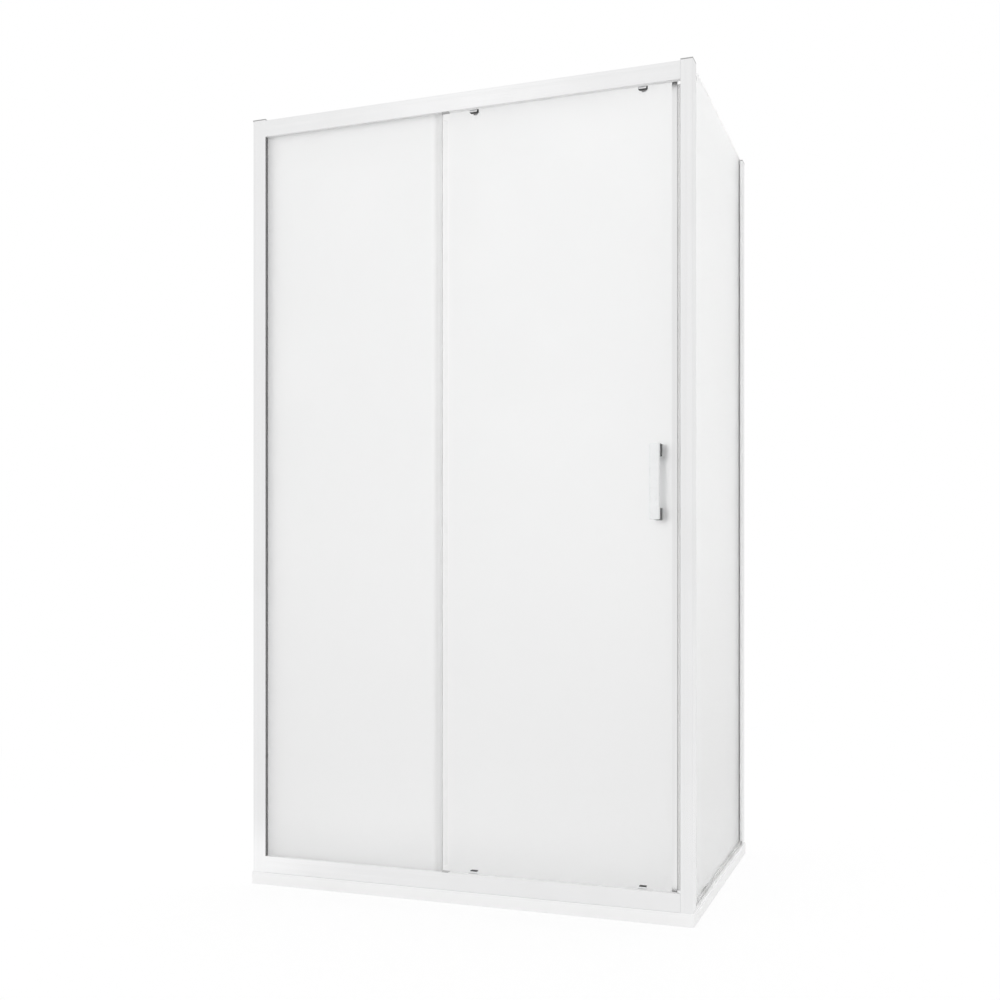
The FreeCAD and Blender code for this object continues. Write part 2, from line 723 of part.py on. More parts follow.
# ------------------------------------------------ handle
def handle_bar(face_inset, way):
    """Flat bar with rounded edges and corners; way is +1 when its back looks to +Y."""
    x0, x1 = handle_left, handle_left + handle_width
    z0, z1 = handle_low, handle_low + handle_height
    y0 = front + face_inset
    bar = box(x0, min(y0, y0 + way * handle_thickness), z0, x1, max(y0, y0 + way * handle_thickness), z1)
    corners = [edge for edge in bar.Edges if edge.BoundBox.YLength > handle_thickness - 0.01]
    bar = bar.makeFillet(3.0, corners)
    rims = [edge for edge in bar.Edges
            if abs(edge.BoundBox.YMin - y0) < 0.01 and edge.BoundBox.YLength < 0.01]
    return bar.makeFillet(2.4, rims)


def rounded_post(width, height, x, z, inset_from, inset_to, radius):
    """Block between two insets from the front face, rounded at its four long edges."""
    block = box(x - width / 2, front + inset_from, z - height / 2,
                x + width / 2, front + inset_to, z + height / 2)
    edges = [edge for edge in block.Edges if edge.BoundBox.YLength > inset_to - inset_from - 0.01]
    return block.makeFillet(radius, edges)


def make_handle():
    """Two bars, one on each side of the pane, on spacers, collars and washers, held by through bolts."""
    outer_face = door_glass_inset - handle_stand_off
    inner_face = door_glass_back + handle_stand_off
    save("handle_outer", handle_bar(outer_face, 1))
    save("handle_inner", handle_bar(inner_face, -1))

    x = handle_post_x()
    spacers = []
    collars = []
    washers = []
    bolts = []
    for z in handle_post_heights():
        for pane_face, way in ((door_glass_inset, -1), (door_glass_back, 1)):
            washer_end = pane_face + way * washer_thickness
            spacer_start = pane_face + way * (handle_stand_off - handle_thickness)
            spacer_end = spacer_start - way * spacer_length
            hole = rod_y(bolt_radius + fit_gap, x, z, pane_face - way, spacer_start + way * 2)
            spans = ((spacers, 0, spacer_start, spacer_end, 2.0),
                     (collars, collar_grow, spacer_end, washer_end, 2.6),
                     (washers, collar_grow, washer_end, pane_face, 2.6))
            for group, grow, start, end, radius in spans:
                block = rounded_post(spacer_width + grow, spacer_height + grow, x, z,
                                     min(start, end), max(start, end), radius)
                group.append(block.cut(hole))
        outer_bar_back = outer_face + handle_thickness
        inner_bar_back = inner_face - handle_thickness
        bolts.append(rod_y(bolt_radius, x, z, outer_bar_back, inner_bar_back))
    save("handle_spacers", *spacers)
    save("handle_collars", *collars)
    save("handle_washers", *washers)
    save("handle_bolts", *bolts)


# ------------------------------------------------ wheels
def turned(outline, x, z):
    """Ring turned about an axis square to the front; outline as (radius, depth from the wheel's middle)."""
    points = [Vector(x + radius, front + wheel_inset + side, z) for radius, side in outline]
    face = Part.Face(Part.makePolygon(points + [points[0]]))
    return face.revolve(Vector(x, front + wheel_inset, z), Vector(0, 1, 0), 360)


def wheel_tyre(x, z):
    """Nylon wheel with a groove that straddles the track rib."""
    half = wheel_width / 2
    groove_mouth = half - 1.05
    groove_floor = half - 1.5
    return turned(((bearing_radius, -half), (wheel_radius - 0.4, -half), (wheel_radius, -half + 0.4),
                   (wheel_radius, -groove_mouth), (groove_radius, -groove_floor),
                   (groove_radius, groove_floor), (wheel_radius, groove_mouth),
                   (wheel_radius, half - 0.4), (wheel_radius - 0.4, half), (bearing_radius, half)), x, z)


def wheel_bearing(x, z):
    """Ball bearing closed by shields that lie back between its two rings."""
    half = wheel_width / 2 - 0.4
    bore = axle_radius + fit_gap
    rim = bearing_radius - fit_gap
    shield = half - 0.4
    ring = 0.8
    return turned(((bore, -half), (bore + ring, -half), (bore + ring, -shield), (rim - ring, -shield),
                   (rim - ring, -half), (rim, -half), (rim, half), (rim - ring, half),
                   (rim - ring, shield), (bore + ring, shield), (bore + ring, half), (bore, half)), x, z)


def axle(x, z, back_inset):
    """Headed pin whose shoulder holds the wheel off the plate behind it."""
    front_gap = 0.2
    head_front = wheel_inset - wheel_width / 2 - 0.9
    shaft = rod_y(axle_radius, x, z, head_front, back_inset)
    head = rod_y(axle_radius + 1.4, x, z, head_front, head_front + 0.9 - front_gap)
    shoulder = rod_y(axle_radius + 1.2, x, z, wheel_inset + wheel_width / 2 + front_gap, plate_front_inset)
    return joined([shaft, head, shoulder])


# ------------------------------------------------ upper rollers
def make_upper_rollers():
    sides = ("left", "right")
    bases = []
    covers = []
    axles = []
    for side, x in zip(sides, rollers):
        plate_low = cover_low - 1.0
        plate_high = top_axle_z + 7.0
        plate = box(x - cover_width / 2, front + plate_front_inset, plate_low,
                    x + cover_width / 2, front + door_glass_inset, plate_high)
        corners = [edge for edge in plate.Edges if edge.BoundBox.YLength > plate_thickness - 0.01]
        plate = plate.makeFillet(3.0, corners)
        plate = plate.cut([rod_y(radius, x, z, plate_front_inset - 1, door_glass_inset + 1)
                           for radius, z in ((axle_radius, top_axle_z), (bolt_radius, top_bolt_z))])
        save("roller_plate_" + side, plate)
        axles.append(axle(x, top_axle_z, door_glass_inset))

        base_depth = cover_front_inset + 4.4
        foot = rounded_post(cover_width + 2.4, cover_height + 2.4, x, top_bolt_z,
                            base_depth, plate_front_inset, 3.0)
        bases.append(foot.cut(rod_y(bolt_radius, x, top_bolt_z, base_depth - 1, plate_front_inset + 1)))
        shell = rounded_post(cover_width, cover_height, x, top_bolt_z, cover_front_inset, base_depth, 2.6)
        rims = [edge for edge in shell.Edges
                if edge.BoundBox.YLength < 0.01 and edge.BoundBox.YMax < front + cover_front_inset + 0.01]
        shell = shell.makeFillet(1.0, rims)
        hollow = rounded_post(cover_width - 2 * shell_wall, cover_height - 2 * shell_wall, x, top_bolt_z,
                              cover_front_inset + shell_wall, base_depth + 1, 1.4)
        covers.append(shell.cut(hollow))
        save("top_wheel_" + side, wheel_tyre(x, top_axle_z))
        save("top_bearing_" + side, wheel_bearing(x, top_axle_z))
    save("roller_bases", *bases)
    save("roller_covers", *covers)
    save("top_roller_axles", *axles)


def make_track_stops():
    """Rubber buffers that straddle the track rib, one for each end of the door's travel."""
    length = 14.0
    low = header_low + ledge_height + skin
    reach = wheel_radius + 0.5
    stops = []
    for x in (rollers[0] - door_travel - reach - length, rollers[1] + reach):
        block = box(x, front + running_back + 0.4, low, x + length, front + ledge_reach - 0.2, low + 11)
        half = rib_width / 2
        slot = box(x - 1, front + wheel_inset - half, low - 1, x + length + 1, front + wheel_inset + half,
                   low + rib_height)
        stops.append(block.cut(slot))
    save("track_stops", *stops)


# ------------------------------------------------ lower rollers
def release_carrier(x):
    """Button, stem plate and wheel seat in one moulding; pressing it drops the wheel off its rib."""
    half = cover_width / 2 - shell_wall - soft_gap
    block_front = cover_front_inset + shell_wall + soft_gap
    stem_front = plate_front_inset + 0.2
    stem_back = door_glass_inset - 0.2
    block = box(x - half, front + block_front, button_low, x + half, front + stem_back, button_top)
    rims = [edge for edge in block.Edges if edge.BoundBox.ZMin > button_top - 0.01]
    block = block.makeFillet(0.8, rims)
    stem = box(x - half, front + stem_front, bottom_axle_z - 6, x + half, front + stem_back, button_low + 1)
    slot_half = pin_radius + 0.4
    slot = joined([box(x - slot_half, front + stem_front - 1, stud_z, x + slot_half, front + stem_back + 1,
                       stud_z + release_stroke),
                   rod_y(slot_half, x, stud_z, stem_front - 1, stem_back + 1),
                   rod_y(slot_half, x, stud_z + release_stroke, stem_front - 1, stem_back + 1)])
    bore = rod_y(axle_radius, x, bottom_axle_z, stem_front - 1, stem_back + 1)
    return joined([block, stem]).cut([slot, bore])


def release_housing(x):
    """Cover open at the top for the button, with side walls that stand on the pane."""
    half = cover_width / 2 + 0.5
    body = box(x - half, front + cover_front_inset, housing_low,
               x + half, front + door_glass_inset, housing_top)
    edges = [edge for edge in body.Edges
             if edge.BoundBox.ZLength > housing_top - housing_low - 0.01
             and edge.BoundBox.YMax < front + cover_front_inset + 0.01]
    body = body.makeFillet(1.0, edges)
    inner = half - shell_wall - 0.5
    cavity = box(x - inner, front + cover_front_inset + shell_wall, housing_low + shell_wall,
                 x + inner, front + door_glass_inset + 1, housing_top + 1)
    stem_way = box(x - inner, front + plate_front_inset - 0.1, housing_low - 1, x + inner,
                   front + door_glass_inset + 1, housing_top)
    return body.cut([cavity, stem_way])


def release_spring(x):
    """Bent leaf spring between the housing's floor and the button."""
    top_z = button_low - 0.2
    low_z = housing_low + shell_wall + 0.1
    reach = cover_width / 2 - shell_wall - 1.6
    leaf = 0.4
    y = front + cover_front_inset + 2.8
    outline = [(-reach, low_z), (-1, top_z), (1, top_z), (reach, low_z), (reach - leaf * 1.4, low_z),
               (0.8, top_z - leaf), (-0.8, top_z - leaf), (-reach + leaf * 1.4, low_z)]
    points = [Vector(x + dx, y, z) for dx, z in outline]
    return Part.Face(Part.makePolygon(points + [points[0]])).extrude(Vector(0, 5.6, 0))


def make_lower_rollers():
    housings = []
    for side, x in zip(("left", "right"), rollers):
        save("release_carrier_" + side, release_carrier(x))
        save("release_spring_" + side, release_spring(x))
        save("bottom_axle_" + side, axle(x, bottom_axle_z, door_glass_inset - 0.2))
        save("bottom_wheel_" + side, wheel_tyre(x, bottom_axle_z).fuse(wheel_bearing(x, bottom_axle_z)))
        housings.append(release_housing(x))
    save("release_housings", *housings)


def make_roller_fasteners():
    """Bolts, plastic sleeves in the glass and round nuts inside the cabin, four of each."""
    bolts = []
    sleeves = []
    nuts = []
    for x in rollers:
        for z, radius, start in ((top_bolt_z, bolt_radius, cover_front_inset + 2.0),
                                 (stud_z, pin_radius, cover_front_inset + shell_wall)):
            bolt = rod_y(radius, x, z, start, door_glass_back + nut_height - 0.4)
            if radius == bolt_radius:
                bolt = joined([bolt, rod_y(bolt_head_radius, x, z, start, cover_front_inset + 4.4)])
            bolts.append(bolt)
            sleeve = rod_y(sleeve_radius, x, z, door_glass_inset, door_glass_back)
            bore = rod_y(radius + fit_gap, x, z, door_glass_inset - 1, door_glass_back + 1)
            sleeves.append(sleeve.cut(bore))
            nut = rod_y(nut_radius, x, z, door_glass_back, door_glass_back + nut_height)
            nut_face = front + door_glass_back + nut_height
            rims = [edge for edge in nut.Edges if edge.BoundBox.YMin > nut_face - 0.01]
            nut = nut.makeFillet(0.8, rims)
            nuts.append(nut.cut(rod_y(radius + fit_gap, x, z, door_glass_back - 1,
                                      door_glass_back + nut_height - 0.4)))
    save("roller_bolts", *bolts)
    save("roller_sleeves", *sleeves)
    save("roller_nuts", *nuts)


def main():
    os.makedirs("parts", exist_ok=True)
    make_tray()
    make_header_and_rail()
    make_wall_members()
    make_corner_post()
    make_frame_screws()
    make_fixed_panes()
    make_overlap_seals()
    make_door_pane()
    make_handle()
    make_upper_rollers()
    make_track_stops()
    make_lower_rollers()
    make_roller_fasteners()


main()
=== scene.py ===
import json
import math

import bmesh
import bpy
from mathutils import Matrix, Vector


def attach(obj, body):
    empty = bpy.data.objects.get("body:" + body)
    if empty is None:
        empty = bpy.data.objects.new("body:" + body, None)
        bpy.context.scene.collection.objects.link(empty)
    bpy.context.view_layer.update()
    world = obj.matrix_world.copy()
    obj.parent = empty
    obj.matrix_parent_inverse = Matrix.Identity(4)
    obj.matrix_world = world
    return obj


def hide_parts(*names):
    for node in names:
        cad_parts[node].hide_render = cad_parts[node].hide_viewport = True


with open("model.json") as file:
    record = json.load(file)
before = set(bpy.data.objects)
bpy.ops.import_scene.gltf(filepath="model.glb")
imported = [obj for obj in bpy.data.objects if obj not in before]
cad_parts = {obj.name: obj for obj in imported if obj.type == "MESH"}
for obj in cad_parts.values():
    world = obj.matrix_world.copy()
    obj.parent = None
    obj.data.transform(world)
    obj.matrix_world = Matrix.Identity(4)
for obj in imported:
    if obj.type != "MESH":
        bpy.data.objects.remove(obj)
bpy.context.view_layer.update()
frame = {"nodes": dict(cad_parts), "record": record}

# ------------------------------------------------------------------ camera
# How the photograph's lens saw the enclosure, in pixels of a square picture: the picture's side,
# the lens's distance, the row of the horizon and the column of the lens's middle.
PHOTO_SIZE = 1000.0
FOCAL_PIXELS = 1199.6
HORIZON_ROW = 570.1
CENTRE_COLUMN = 509.0
SENSOR_WIDTH = 36.0
CAMERA_PLACE = (1.1453, -3.2072, 0.8434)
CAMERA_TURN = math.radians(19.757)

# ------------------------------------------------------------------ white room
WHITE = (1.0, 1.0, 1.0, 1.0)

# How bright metal and glass mirror the room, on the left and on the right, and the X part of a
# direction where the one starts to turn into the other and where it has turned.
MIRRORED_WHITE = 0.88
MIRRORED_RIGHT = 0.76
RIGHT_STARTS = -0.2
RIGHT_FULL = 0.95

# The room's light on surfaces that don't mirror it.
ROOM_LIGHT = 0.97

# Where the header mirrors the soft lamp, as a direction, how wide that is and how bright.
HEADER_GLEAM = Vector((-1.10, -2.80, 1.19)).normalized()
GLEAM_EDGE = 0.9935
GLEAM_MIDDLE = 0.9998
GLEAM_BRIGHTNESS = 0.13

# Lamps: name, place, the point it shines at, its side, its power and whether metal mirrors it.
LAMPS = (
    ("high_soft_box", (-1.3, -2.9, 4.9), (0.0, 0.0, 0.9), 2.6, 6.0, False),
    ("ceiling_lamp", (-0.1, 0.1, 5.0), (-0.1, 0.1, 0.0), 1.6, 28.0, False),
    ("small_front_lamp", (-1.31, -4.12, 3.07), (0.09, -0.37, 1.8), 0.22, 0.14, True),
)

# The floor lies a hair below the tray. Near the tray it is painted enough to keep the shadow, and
# from SHADOW_FADES to SHADOW_ENDS, in metres from the middle, it turns into plain white.
FLOOR_HALF = 14.0
FLOOR_BELOW = 0.0005
FLOOR_TONE = 252
SHADOW_FADES = 3.2 / 3.0
SHADOW_ENDS = 3.2
WHITE_NEAR_TRAY = 0.90

# Metal mirrors a bright card on the floor by the left corner, up to these distances from it.
FLOOR_CARD_PLACE = (-0.80, -0.66, 0.0)
FLOOR_CARD_FADES = 0.42
FLOOR_CARD_FULL = 0.16

# ------------------------------------------------------------------ finishes
# Tints, as shares of red, green and blue.
NEUTRAL = (1.0, 1.0, 1.0)
ANODISED_TINT = (1.0, 1.0, 1.004)
CHROME_TINT = (0.99, 1.0, 1.004)
GLASS_TINT = (0.998, 1.0, 0.9995)
ACRYLIC_TINT = (1.0, 1.0, 0.998)
MILKY_TINT = (1.0, 1.0, 0.985)
STEEL_TINT = (1.0, 0.995, 0.985)
NYLON_TINT = (1.0, 0.995, 0.975)

# How closely fine lines lie, per metre: across and along an extrusion, as the die leaves them, and
# across and along turned steel.
DIE_ACROSS = 900.0
DIE_ALONG = 5.0
TURNING_ACROSS = 1500.0
TURNING_ALONG = 60.0

# Heights between which a painted lightening of the frosted panes comes in, and goes again, to lift
# the shade that falls on their lower part, and the screen tones that this painted light adds.
PAINTED_LIFT_TOP = 1.45
PAINTED_LIFT_FULL = 0.45
PAINTED_LIFT_FADES = 0.21
PAINTED_LIFT_FOOT = 0.09
PAINTED_LIFT_TONES = 4

# The strip where the closed door and the fixed pane cover each other, painted lighter to lift the
# shade of the two panes there.
OVERLAP_LEFT = -0.078
OVERLAP_RIGHT = -0.036
OVERLAP_BLUR = 0.004

# Heights between which the tray's smooth rim turns into the stippled basin.
BASIN_SMOOTH = 0.0270
BASIN_STIPPLED = 0.0245

# ------------------------------------------------------------------ small hardware
# Creases sharper than this stay sharp, and solids of one node further apart than this are counted
# as separate screws or nuts.
SHARP_CREASE = math.radians(32)
HARDWARE_APART = 0.012

# Lock screws, in metres.
LOCK_SCREW_SHAFT = 0.0019
LOCK_SCREW_HEAD = 0.0024
THREAD_PITCH = 0.0007
THREAD_FREE_END = 0.0010
SCREW_POINT = 0.0008

# Their thread's core and point, as shares of the shaft's radius, and how they are turned, in
# radians, so that no two recesses stand alike.
THREAD_CORE = 0.84
POINT_RADIUS = 0.7
FIRST_SCREW_TURN = 0.35
NEXT_SCREW_TURN = 0.9

# Their head, as shares of its radius and its height: the side up to the shoulder, then the dome.
HEAD_SHOULDER = 0.95
HEAD_SIDE = ((0.97, 0.0), (1.0, 0.12), (1.0, 0.50), (HEAD_SHOULDER, 0.62))
HEAD_DOME = 0.28
DOME_STEPS = 7
SCREW_SEGMENTS = 48

# Their cross recess: its arms as shares of the head's radius, its depth as a share of the head's
# height, how far the cutting blades stand up, and how much of an arm's length and width is left
# at the recess's floor.
RECESS_REACH = 0.58
RECESS_HALF_WIDTH = 0.14
RECESS_DEPTH = 0.62
BLADE_TOP = 1.1
RECESS_FLOOR_REACH = 0.35
RECESS_FLOOR_WIDTH = 0.7

# Roller nuts: the washer under each and the recess in its face, in metres, and how the nuts are
# turned, in radians.
NUT_WASHER = 0.0009
NUT_FACE_RECESS = 0.00025
FIRST_NUT_TURN = 0.3
NEXT_NUT_TURN = 1.3

# Their rim, as a share of the washer's radius, its side and rounded edge, as shares of the rim and
# of the nut's height, and the recess in its face, as a share of the rim.
NUT_RIM = 0.985
NUT_SIDE = ((1.0, 0.80), (0.985, 0.88), (0.94, 0.97), (0.88, 1.0), (0.74, 1.0))
NUT_FACE = 0.70

# Their flutes: how many, how deep as a share of the washer's radius, and where they start, in
# thicknesses of the washer, and end, as a share of the nut's height.
NUT_FLUTES = 30
SEGMENTS_PER_FLUTE = 8
FLUTE_DEPTH = 0.045
FLUTES_START = 1.2
FLUTES_END = 0.86

# Their two spanner holes, as shares of the washer's radius, and the height of the middle of the
# pins that cut them, as a share of the nut's height.
SPANNER_HOLE_PLACE = 0.50
SPANNER_HOLE_INNER = 0.11
SPANNER_HOLE_OUTER = 0.12
SPANNER_HOLE_SEGMENTS = 24
SPANNER_PIN_HEIGHT = 1.1


def tone(value):
    """Linear light of a grey that shows as 0 to 255 on the screen."""
    share = value / 255.0
    return share / 12.92 if share <= 0.04045 else ((share + 0.055) / 1.055) ** 2.4


def grey(value, tint=NEUTRAL):
    """Colour of that screen tone, with a slight tint."""
    return tuple(tone(value) * part for part in tint) + (1.0,)


# ------------------------------------------------------------------ node helpers
class Net:
    """A node tree that is written from left to right."""

    # Sockets of the colour mix node, which has several of the same name.
    MIX_SHARE, MIX_FIRST, MIX_SECOND, MIX_RESULT = 0, 6, 7, 2

    def __init__(self, tree):
        self.tree = tree

    def add(self, kind, inputs=None, **settings):
        """New node with its settings, and its inputs linked or set."""
        node = self.tree.nodes.new(kind)
        for name, value in settings.items():
            setattr(node, name, value)
        for name, value in (inputs or {}).items():
            self.feed(node, name, value)
        return node

    def feed(self, node, name, value):
        """Link an output socket to an input, or set the input's own value."""
        socket = node.inputs[name]
        if isinstance(value, bpy.types.NodeSocket):
            self.tree.links.new(value, socket)
        else:
            socket.default_value = value

    def math(self, operation, a, b=0.0, c=0.0):
        """Result of one calculation with up to three values."""
        return self.add("ShaderNodeMath", {0: a, 1: b, 2: c}, operation=operation).outputs[0]

    def spread(self, value, low, high, to_low=0.0, to_high=1.0):
        """Map a value from one range to another, clamped, with soft ends."""
        ranges = {"Value": value, "From Min": low, "From Max": high,
                  "To Min": to_low, "To Max": to_high}
        return self.add("ShaderNodeMapRange", ranges, interpolation_type="SMOOTHSTEP").outputs[0]

    def blend(self, share, first, second):
        """The first colour where share is 0, and the second one where it is 1."""
        node = self.add("ShaderNodeMix", data_type="RGBA")
        self.feed(node, self.MIX_SHARE, share)
        self.feed(node, self.MIX_FIRST, first)
        self.feed(node, self.MIX_SECOND, second)
        return node.outputs[self.MIX_RESULT]

    def noise(self, position, **values):
        """Noise from 0 to 1 at that position. Returns the node's outputs."""
        return self.add("ShaderNodeTexNoise", {"Vector": position, **values}).outputs

    def cells(self, position, scale):
        """Cells of even spacing at that position. Returns the node's outputs."""
        return self.add("ShaderNodeTexVoronoi", {"Vector": position, "Scale": scale}).outputs


def new_effect(name, inputs, outputs):
    """Empty node group with named inputs and outputs. Returns its net, given sockets and end."""
    group = bpy.data.node_groups.new(name, "ShaderNodeTree")
    for label, kind, value in inputs:
        socket = group.interface.new_socket(label, in_out="INPUT", socket_type="NodeSocket" + kind)
        if value is not None:
            socket.default_value = value
    for label in outputs:
        group.interface.new_socket(label, in_out="OUTPUT", socket_type="NodeSocketFloat")
    net = Net(group)
    given = net.add("NodeGroupInput").outputs
    end = net.add("NodeGroupOutput")
    return net, given, end


# ------------------------------------------------------------------ shared effects
def streaks_effect():
    """Fine lines along one direction, as a die or a lathe leaves them, and slower bands."""
    net, given, end = new_effect(
        "die_streaks",
        [("Position", "Vector", None), ("Density", "Vector", NEUTRAL), ("Softness", "Float", 0.5)],
        ["Lines", "Bands"])
    stretched = net.add("ShaderNodeVectorMath", {0: given["Position"], 1: given["Density"]},
                        operation="MULTIPLY").outputs[0]
    fine = net.noise(stretched, Scale=1.0, Detail=4.0, Roughness=given["Softness"])
    slow = net.noise(stretched, Scale=0.12, Detail=2.0)
    net.feed(end, "Lines", net.spread(fine[0], 0.3, 0.7))
    net.feed(end, "Bands", net.spread(slow[0], 0.35, 0.65))
    return net.tree


def clouds_effect():
    """Slow, even variation over a surface. With more cover, the clouds take up more of it."""
    net, given, end = new_effect(
        "slow_clouds",
        [("Position", "Vector", None), ("Cloud Size", "Float", 0.1), ("Cover", "Float", 0.5)],
        ["Clouds"])
    scale = net.math("DIVIDE", 1.0, given["Cloud Size"])
    noise = net.noise(given["Position"], Scale=scale, Detail=3.0, Distortion=0.4)
    lowered = net.math("MULTIPLY", given["Cover"], 0.35)
    low = net.math("SUBTRACT", 0.5, lowered)
    high = net.math("SUBTRACT", 0.85, lowered)
    net.feed(end, "Clouds", net.spread(noise[0], low, high))
    return net.tree


def grain_effect():
    """Fine grain of a moulded or etched surface, as a height and a mask of its pits."""
    net, given, end = new_effect(
        "fine_grain",
        [("Position", "Vector", None), ("Grain Size", "Float", 0.001)],
        ["Height", "Pits"])
    scale = net.math("DIVIDE", 1.0, given["Grain Size"])
    noise = net.noise(given["Position"], Scale=scale, Detail=3.0, Roughness=0.6)
    cells = net.cells(given["Position"], scale)
    pits = net.spread(cells["Distance"], 0.0, 0.55)
    rough_part = net.math("MULTIPLY", noise[0], 0.6)
    net.feed(end, "Height", net.math("ADD", rough_part, net.math("MULTIPLY", pits, 0.4)))
    net.feed(end, "Pits", pits)
    return net.tree


def dried_drops_effect():
    """Faint rings that dried water leaves, on a few of evenly spread places."""
    net, given, end = new_effect(
        "dried_drops",
        [("Position", "Vector", None), ("Spacing", "Float", 0.02), ("Amount", "Float", 0.5)],
        ["Marks"])
    scale = net.math("DIVIDE", 1.0, given["Spacing"])
    bent = net.noise(given["Position"], Scale=90.0, Detail=2.0)
    shifts = {0: bent["Color"], 1: (0.004, 0.004, 0.004), 2: given["Position"]}
    shifted = net.add("ShaderNodeVectorMath", shifts, operation="MULTIPLY_ADD").outputs[0]
    cells = net.cells(shifted, scale)
    # A ring lies between a tenth and a fifth of the spacing away from the middle of its cell.
    ring_out = net.spread(cells["Distance"], 0.20, 0.16)
    ring_in = net.spread(cells["Distance"], 0.10, 0.15)
    rings = net.math("MULTIPLY", ring_out, ring_in)
    seldom = net.add("ShaderNodeSeparateColor", {"Color": cells["Color"]}).outputs["Red"]
    chosen = net.math("MULTIPLY", rings, net.spread(seldom, 0.55, 0.75))
    net.feed(end, "Marks", net.math("MULTIPLY", chosen, given["Amount"]))
    return net.tree


EFFECTS = {
    "streaks": streaks_effect(),
    "clouds": clouds_effect(),
    "grain": grain_effect(),
    "drops": dried_drops_effect(),
}


def placed_effect(net, effect, position, **values):
    """Put an effect into a material with its own values. Returns the effect's outputs."""
    node = net.add("ShaderNodeGroup", node_tree=EFFECTS[effect])
    net.feed(node, "Position", position)
    for name, value in values.items():
        net.feed(node, name.replace("_", " "), value)
    return node.outputs


# ------------------------------------------------------------------ materials
def new_material(name, **plain):
    """Material with its own Principled shader, and the shader's values that are the same all over.

    Returns the material, its net, the shader and the position on the surface.
    """
    material = bpy.data.materials.new(name)
    material.use_nodes = True
    material.node_tree.nodes.clear()
    net = Net(material.node_tree)
    end = net.add("ShaderNodeOutputMaterial")
    shader = net.add("ShaderNodeBsdfPrincipled")
    net.feed(end, "Surface", shader.outputs[0])
    for label, value in plain.items():
        net.feed(shader, label.replace("_", " "), value)
    position = net.add("ShaderNodeTexCoord").outputs["Object"]
    return material, net, shader, position


def roughened(net, shader, polish, *masks):
    """Give the shader its polish, and where each mask shows, that much more roughness."""
    rough = polish
    for mask, added in masks:
        rough = net.math("MULTIPLY_ADD", mask, added, rough)
    net.feed(shader, "Roughness", rough)


def bumped(net, shader, height, distance, strength):
    """Let a height mask tilt the surface's normal. Distance is in metres."""
    bump = net.add("ShaderNodeBump", {"Height": height, "Distance": distance, "Strength": strength})
    net.feed(shader, "Normal", bump.outputs[0])


def bright_aluminium(name, along):
    """Polished, anodised extrusion. The die's lines run along X, Y or Z."""
    material, net, shader, position = new_material(name, Metallic=1.0)
    density = tuple(DIE_ALONG if axis == along else DIE_ACROSS for axis in "XYZ")
    lines = placed_effect(net, "streaks", position, Density=density, Softness=0.55)
    clouds = placed_effect(net, "clouds", position, Cloud_Size=0.16, Cover=0.3)
    metal = net.blend(lines["Bands"], grey(249, ANODISED_TINT), grey(251, ANODISED_TINT))
    dull_share = net.math("MULTIPLY", clouds["Clouds"], 0.35)
    net.feed(shader, "Base Color", net.blend(dull_share, metal, grey(246)))
    roughened(net, shader, 0.18, (lines["Lines"], 0.04), (clouds["Clouds"], 0.03))
    bumped(net, shader, lines["Lines"], distance=0.00002, strength=0.25)
    return material


def satin_aluminium(name):
    """Duller anodised extrusion, as on the door's closing edge."""
    material, net, shader, position = new_material(name, Metallic=1.0)
    density = (DIE_ACROSS, DIE_ACROSS, DIE_ALONG)
    lines = placed_effect(net, "streaks", position, Density=density, Softness=0.6)
    net.feed(shader, "Base Color", net.blend(lines["Bands"], grey(246), grey(250)))
    roughened(net, shader, 0.32, (lines["Lines"], 0.08))
    bumped(net, shader, lines["Lines"], distance=0.00002, strength=0.3)
    return material


def chrome(name):
    """Polished chrome plating with faint clouds and water marks."""
    material, net, shader, position = new_material(name, Metallic=1.0)
    clouds = placed_effect(net, "clouds", position, Cloud_Size=0.03, Cover=0.5)
    drops = placed_effect(net, "drops", position, Spacing=0.012, Amount=0.2)
    clean = net.blend(clouds["Clouds"], grey(252, CHROME_TINT), grey(249, CHROME_TINT))
    net.feed(shader, "Base Color", net.blend(drops["Marks"], clean, grey(236)))
    roughened(net, shader, 0.06, (clouds["Clouds"], 0.05), (drops["Marks"], 0.25))
    return material


def frosted_glass(name, value, refraction):
    """Glass etched on one side, with an even fine grain. Etching lowers what its face mirrors."""
    material, net, shader, position = new_material(
        name, IOR=refraction, Transmission_Weight=1.0, Coat_Weight=0.1, Coat_Roughness=0.07)
    grain = placed_effect(net, "grain", position, Grain_Size=0.0009)
    clouds = placed_effect(net, "clouds", position, Cloud_Size=0.35, Cover=0.2)
    drops = placed_effect(net, "drops", position, Spacing=0.03, Amount=0.5)
    even = net.blend(clouds["Clouds"], grey(value - 1, GLASS_TINT), grey(value + 1, GLASS_TINT))
    # Painted light: the panes are painted lighter low down and on the overlap strip, to lift the
    # shade there.
    parts = net.add("ShaderNodeSeparateXYZ", {"Vector": position}).outputs
    low_part_lift = net.math("MULTIPLY", net.spread(parts["Z"], PAINTED_LIFT_TOP, PAINTED_LIFT_FULL),
                     net.spread(parts["Z"], PAINTED_LIFT_FOOT, PAINTED_LIFT_FADES))
    past_left = net.spread(parts["X"], OVERLAP_LEFT - OVERLAP_BLUR, OVERLAP_LEFT + OVERLAP_BLUR)
    past_right = net.spread(parts["X"], OVERLAP_RIGHT + OVERLAP_BLUR, OVERLAP_RIGHT - OVERLAP_BLUR)
    overlap_lift = net.math("MULTIPLY", past_left, past_right)
    painted_lift_share = net.math("MAXIMUM", low_part_lift, overlap_lift)
    painted_lift_colour = net.blend(painted_lift_share, even, grey(min(255, value + PAINTED_LIFT_TONES)))
    pit_share = net.math("MULTIPLY", grain["Pits"], 0.2)
    net.feed(shader, "Base Color", net.blend(pit_share, painted_lift_colour, grey(value - 2)))
    roughened(net, shader, 0.52, (grain["Pits"], 0.03), (drops["Marks"], 0.06))
    bumped(net, shader, grain["Height"], distance=0.00003, strength=0.2)
    return material


